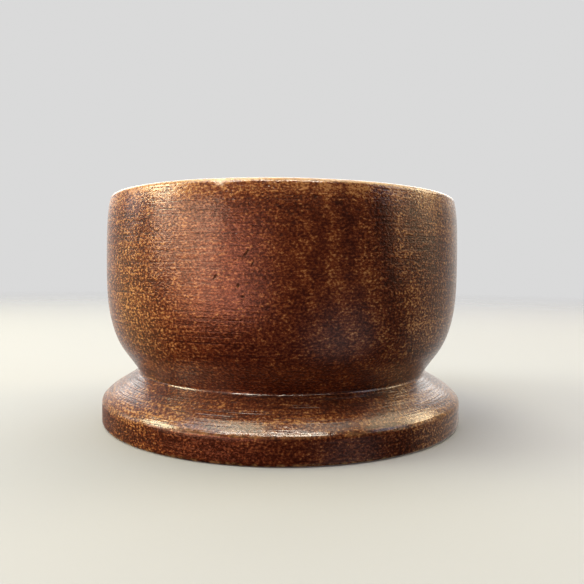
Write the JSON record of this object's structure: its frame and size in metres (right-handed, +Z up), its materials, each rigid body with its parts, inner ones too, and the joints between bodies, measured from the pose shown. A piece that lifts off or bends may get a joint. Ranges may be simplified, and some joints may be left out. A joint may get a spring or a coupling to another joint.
{
  "type": "rosin cake in wooden cup",
  "caption": "Cake of amber bow rosin cast in a round turned hardwood cup with a bulging bowl, a sharp crease and a flared disc foot.",
  "frame": {"origin": "centre of the foot's flat underside", "axes": "+Z up along the turning axis, out of the cup's mouth; X and Y are arbitrary, since the shape is round"},
  "size_m": [0.05, 0.05, 0.0303],
  "materials": {
    "stained_wood": "clear gloss lacquer over dark walnut stain, fine turning lines, paler where the rim and foot edges are worn",
    "rosin": "glassy amber, dusty and finely scratched where the bow is drawn"
  },
  "bodies": {
    "root": {"turned_cup": "stained_wood", "rosin_cake": "rosin"}
  },
  "joints": []
}
